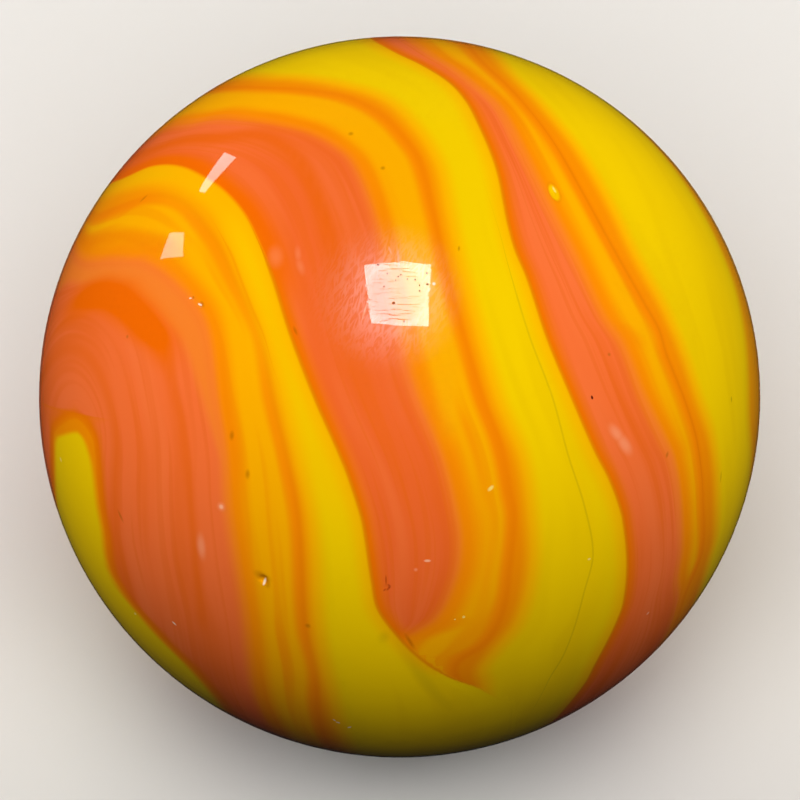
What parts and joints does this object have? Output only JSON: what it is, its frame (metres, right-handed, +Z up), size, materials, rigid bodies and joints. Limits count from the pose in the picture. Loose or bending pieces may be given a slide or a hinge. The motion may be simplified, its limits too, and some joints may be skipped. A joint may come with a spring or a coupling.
{
  "type": "glass marble",
  "caption": "Solid ball of opaque glass with coral, orange and yellow ribbons folded round it in a swirl, for marble games and marble runs.",
  "frame": {"origin": "centre of the ball", "axes": "+Z up and -Y front; the ribbons run round the X axis, and the face of the swirl tips 52 degrees up from -Y; the right pole, at +X, is where the last ribbon's yellow fades to orange"},
  "size_m": [0.016, 0.016, 0.016],
  "materials": {
    "swirled_glass": "opaque, smooth and glossy, with a few small pits and light scratches"
  },
  "bodies": {
    "root": {"marble": "swirled_glass"}
  },
  "joints": []
}
